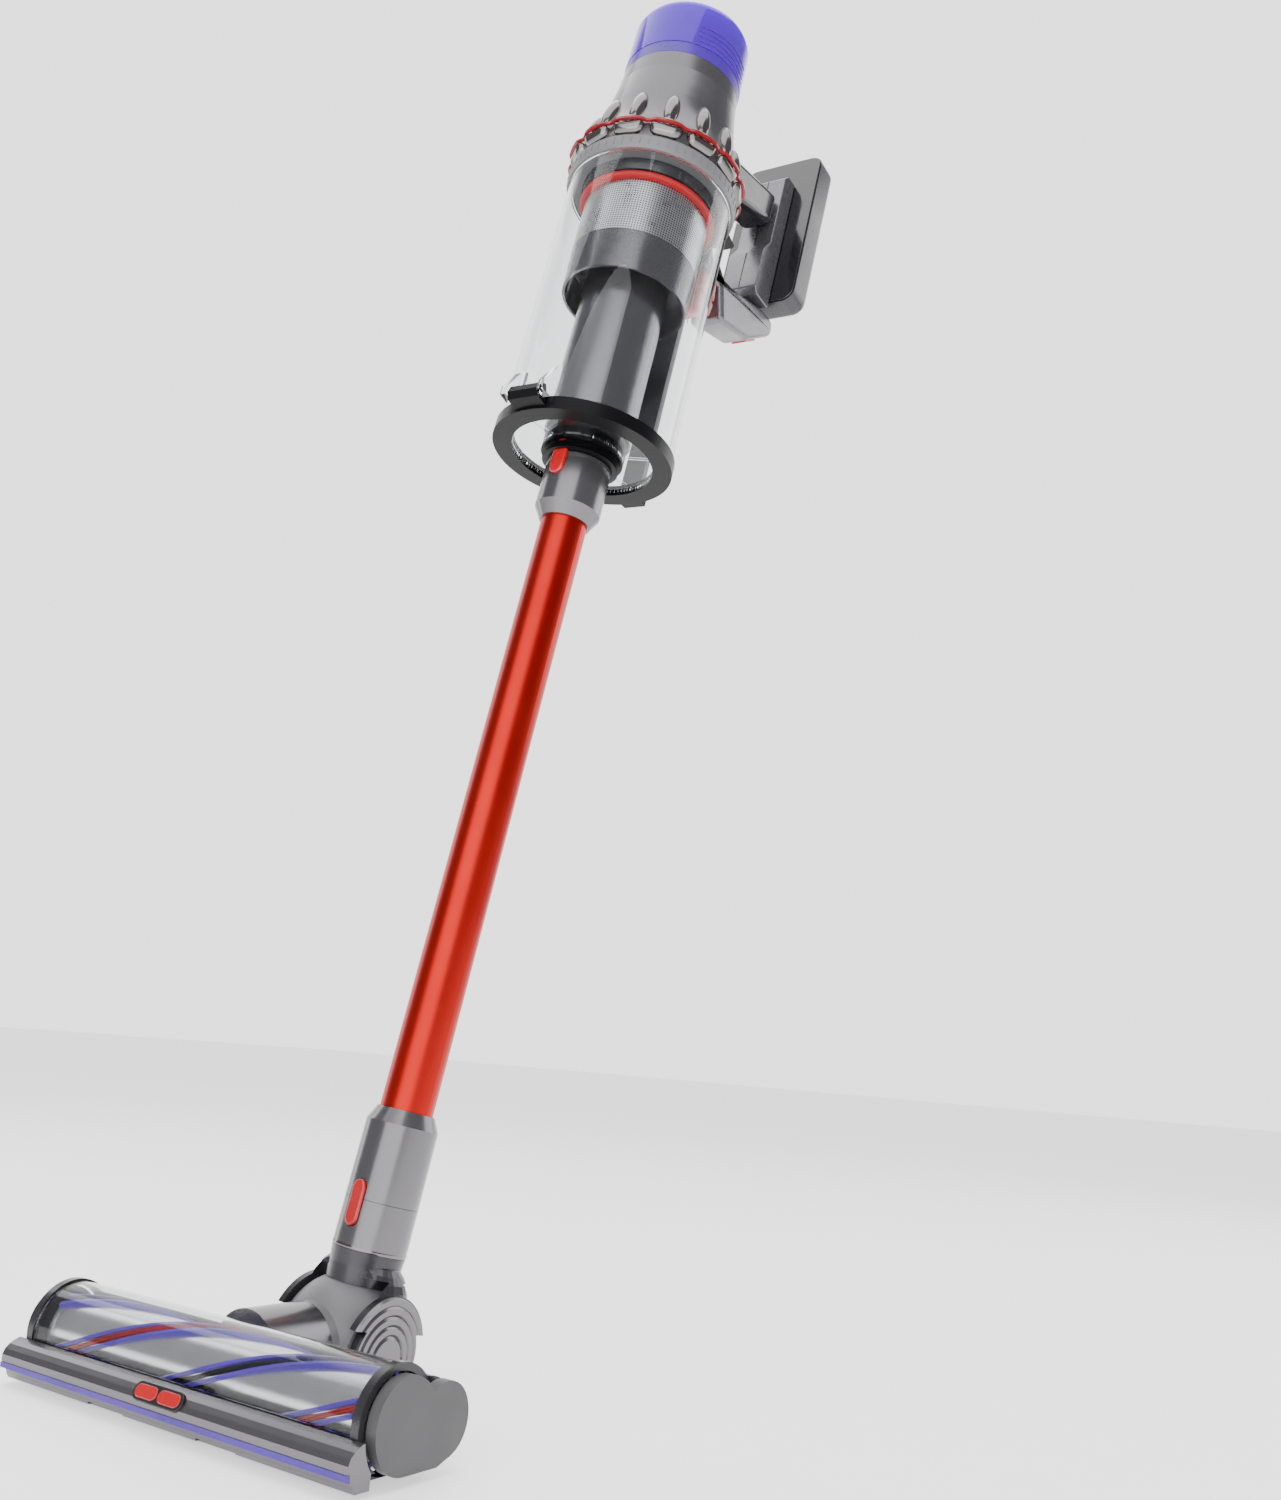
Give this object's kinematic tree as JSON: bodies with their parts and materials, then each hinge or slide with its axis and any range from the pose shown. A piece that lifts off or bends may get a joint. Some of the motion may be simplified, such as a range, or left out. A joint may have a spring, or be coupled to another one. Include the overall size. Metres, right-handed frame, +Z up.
{
  "type": "cordless stick vacuum cleaner",
  "caption": "Cordless stick vacuum cleaner with a motorised floor head, aluminium wand, clear cyclone bin, pleated filter, hand grip and clip-on battery.",
  "frame": {"origin": "on the floor, below the middle of the machine's bounding box at rest", "axes": "+X along the floor head's width, +Y from the head's front to the back where the grip is, +Z up; the wand leans back 8.1 degrees and sideways 5.5 degrees"},
  "size_m": [0.339, 0.5524, 1.1942],
  "materials": {
    "nickel_plastic": "satin metallised",
    "dark_nickel": "satin",
    "bright_nickel": "polished",
    "grey_plastic": "matte",
    "black_plastic": "matte",
    "clear_plastic": "clear",
    "violet_plastic": "tinted clear",
    "violet_filter": "pleated",
    "violet_felt": "short pile",
    "red_plastic": "gloss",
    "red_anodised": "satin anodised",
    "steel_mesh": "perforated",
    "steel": "machined",
    "copper": "wound wire",
    "circuit": "board",
    "screen": "dark glass",
    "cell_wrap": "wrapped cell",
    "soft_black": "soft",
    "roller_satin": "satin",
    "bristle": "bristle"
  },
  "bodies": {
    "handheld": {"motor_housing": "dark_nickel", "cyclone_band": "bright_nickel", "cyclone_cups": "bright_nickel", "cyclone_trim": "red_plastic", "bin_collar": "nickel_plastic", "shroud_top": "dark_nickel", "red_seal": "red_plastic", "mesh_shroud": "steel_mesh", "shroud_skirt": "dark_nickel", "centre_duct": "nickel_plastic", "motor_frame": "grey_plastic", "motor_stator": "copper", "circuit_board": "circuit", "display_pod": "dark_nickel", "display_screen": "screen", "handle_grip": "dark_nickel", "handle_base": "nickel_plastic", "handle_strut": "nickel_plastic", "handle_rail": "nickel_plastic", "handle_screws": "steel"},
    "motor_rotor": {"motor_rotor": "steel"},
    "filter": {"filter_cap": "violet_plastic", "filter_pleats": "violet_filter", "filter_band": "violet_plastic"},
    "mode_button": {"mode_button": "grey_plastic"},
    "trigger": {"trigger": "soft_black"},
    "battery": {"battery_case": "dark_nickel", "battery_cells": "cell_wrap"},
    "battery_button": {"battery_button": "red_plastic"},
    "bin": {"bin_cylinder": "clear_plastic", "bin_spine": "dark_nickel", "hinge_bracket": "clear_plastic"},
    "bin_lever": {"bin_lever": "red_plastic"},
    "flap": {"flap_rim": "dark_nickel", "flap_window": "clear_plastic", "flap_nozzle": "dark_nickel"},
    "wand": {"wand_tube": "red_anodised", "upper_cuff": "nickel_plastic", "lower_cuff": "nickel_plastic", "cable_channel": "black_plastic"},
    "wand_button": {"wand_button": "red_plastic"},
    "head_button": {"head_button": "red_plastic"},
    "yoke": {"head_cuff": "nickel_plastic", "yoke": "dark_nickel", "pivot_covers": "nickel_plastic"},
    "elbow": {"elbow": "nickel_plastic"},
    "head": {"neck_duct": "nickel_plastic", "head_body": "dark_nickel", "head_window": "clear_plastic", "window_rings": "nickel_plastic", "front_bumper": "nickel_plastic", "felt_strip": "violet_felt", "left_cap": "grey_plastic", "brush_motor": "steel"},
    "brush_bar": {"brush_core": "roller_satin", "brush_strips": "bristle"},
    "end_cap": {"end_cap": "grey_plastic"},
    "suction_slider": {"suction_slider": "red_plastic"},
    "wheel_left": {"wheel_left": "soft_black"},
    "wheel_right": {"wheel_right": "soft_black"}
  },
  "joints": [
    {"name": "rotor_spin", "type": "hinge", "parent": "handheld", "child": "motor_rotor", "pos_m": [0.09294, 0.03327, 1.0985], "axis": [0.0949, 0.1409, 0.9855], "continuous": true},
    {"name": "filter_twist", "type": "hinge", "parent": "handheld", "child": "filter", "pos_m": [0.09768, 0.04032, 1.14778], "axis": [0.0949, 0.1409, 0.9855], "range_deg": [0, 35]},
    {"name": "mode_press", "type": "slide", "parent": "handheld", "child": "mode_button", "axis": [-0.0949, -0.1409, -0.9855], "range_m": [0, 0.0015], "stiffness_N_per_m": 400, "springref_m": -0.001},
    {"name": "trigger_pull", "type": "hinge", "parent": "handheld", "child": "trigger", "pos_m": [0.08721, 0.12678, 1.03901], "axis": [0.9954, 0, -0.0958], "range_deg": [0, 10], "stiffness_Nm_per_rad": 0.8, "springref_deg": -11.46},
    {"name": "battery_slide", "type": "slide", "parent": "handheld", "child": "battery", "axis": [-0.0135, 0.99, -0.1403], "range_m": [0, 0.06]},
    {"name": "battery_release", "type": "slide", "parent": "handheld", "child": "battery_button", "axis": [0.0825, -0.5091, 0.8567], "range_m": [0, 0.002], "stiffness_N_per_m": 600, "springref_m": -0.001},
    {"name": "bin_slide", "type": "slide", "parent": "handheld", "child": "bin", "axis": [-0.0949, -0.1409, -0.9855], "range_m": [0, 0.045]},
    {"name": "bin_lever_push", "type": "slide", "parent": "bin", "child": "bin_lever", "axis": [-0.0949, -0.1409, -0.9855], "range_m": [0, 0.015], "stiffness_N_per_m": 300, "springref_m": -0.004},
    {"name": "flap_hinge", "type": "hinge", "parent": "bin", "child": "flap", "pos_m": [0.05921, -0.1057, 0.74819], "axis": [-0.9954, 0, 0.0958], "range_deg": [0, 95]},
    {"name": "wand_slide", "type": "slide", "parent": "flap", "child": "wand", "axis": [-0.0949, -0.1409, -0.9855], "range_m": [0, 0.038]},
    {"name": "wand_release", "type": "slide", "parent": "wand", "child": "wand_button", "axis": [-0.0135, 0.99, -0.1403], "range_m": [0, 0.002], "stiffness_N_per_m": 500, "springref_m": -0.001},
    {"name": "head_release", "type": "slide", "parent": "wand", "child": "head_button", "axis": [-0.0135, 0.99, -0.1403], "range_m": [0, 0.0018], "stiffness_N_per_m": 500, "springref_m": -0.001},
    {"name": "head_slide", "type": "slide", "parent": "wand", "child": "yoke", "axis": [-0.0949, -0.1409, -0.9855], "range_m": [0, 0.034]},
    {"name": "elbow_pitch", "type": "hinge", "parent": "yoke", "child": "elbow", "pos_m": [-0.00954, -0.1189, 0.0342], "axis": [0.9954, 0, -0.0958], "range_deg": [-8, 68]},
    {"name": "neck_roll", "type": "hinge", "parent": "elbow", "child": "head", "pos_m": [-0.00954, -0.1189, 0.0342], "axis": [0, 1, 0], "range_deg": [-45, 45]},
    {"name": "brush_spin", "type": "hinge", "parent": "head", "child": "brush_bar", "pos_m": [-0.00954, -0.2319, 0.0315], "axis": [1, 0, 0], "continuous": true},
    {"name": "end_cap_turn", "type": "hinge", "parent": "head", "child": "end_cap", "pos_m": [0.14046, -0.2319, 0.0315], "axis": [1, 0, 0], "range_deg": [0, 30]},
    {"name": "suction_slide", "type": "slide", "parent": "head", "child": "suction_slider", "axis": [1, 0, 0], "range_m": [-0.01, 0.01]},
    {"name": "wheel_left_spin", "type": "hinge", "parent": "head", "child": "wheel_left", "pos_m": [-0.11554, -0.1854, 0.009], "axis": [1, 0, 0], "continuous": true},
    {"name": "wheel_right_spin", "type": "hinge", "parent": "head", "child": "wheel_right", "pos_m": [0.09646, -0.1854, 0.009], "axis": [1, 0, 0], "continuous": true}
  ]
}
